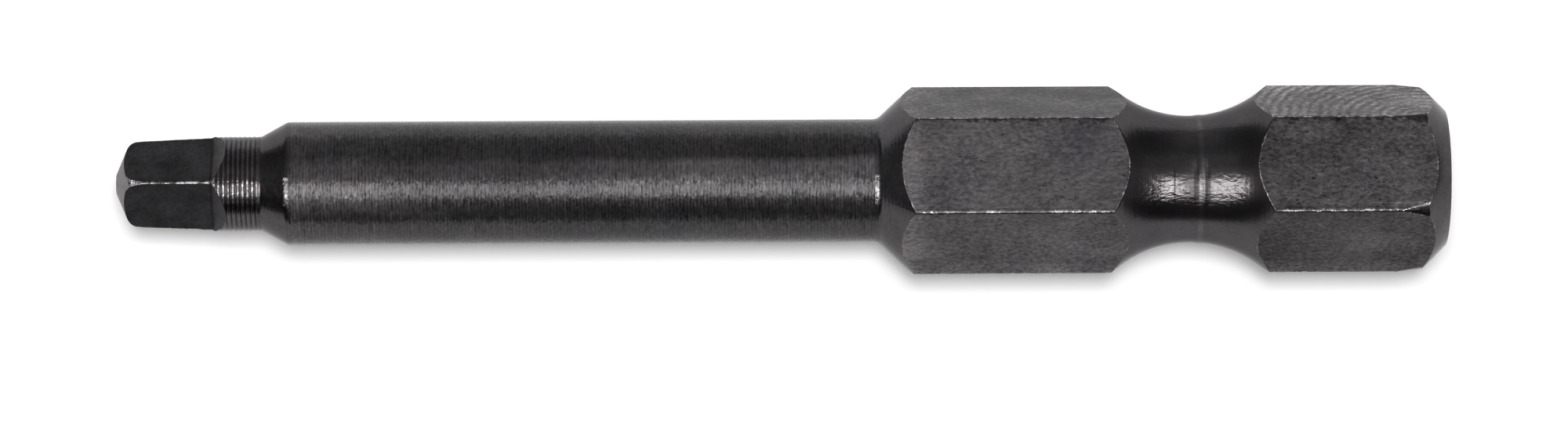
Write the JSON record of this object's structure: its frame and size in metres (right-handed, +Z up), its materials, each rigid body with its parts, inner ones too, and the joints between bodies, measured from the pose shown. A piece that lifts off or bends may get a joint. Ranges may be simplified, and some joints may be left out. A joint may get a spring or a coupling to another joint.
{
  "type": "square drive bit",
  "caption": "One-piece steel power bit: hexagon shank with a retention groove, slimmer round shank, and a short ringed neck with a tapered square point.",
  "frame": {"origin": "middle of the shank's rear end face, on the turning axis", "axes": "+X out of the rear end face along the turning axis, so the square point lies towards -X; +Z up, with one hexagon flat facing straight down"},
  "size_m": [0.0508, 0.0074, 0.0064],
  "materials": {
    "black_oxide_steel": "black oxide over fine turning marks"
  },
  "bodies": {
    "root": {"drive_bit": "black_oxide_steel"}
  },
  "joints": []
}
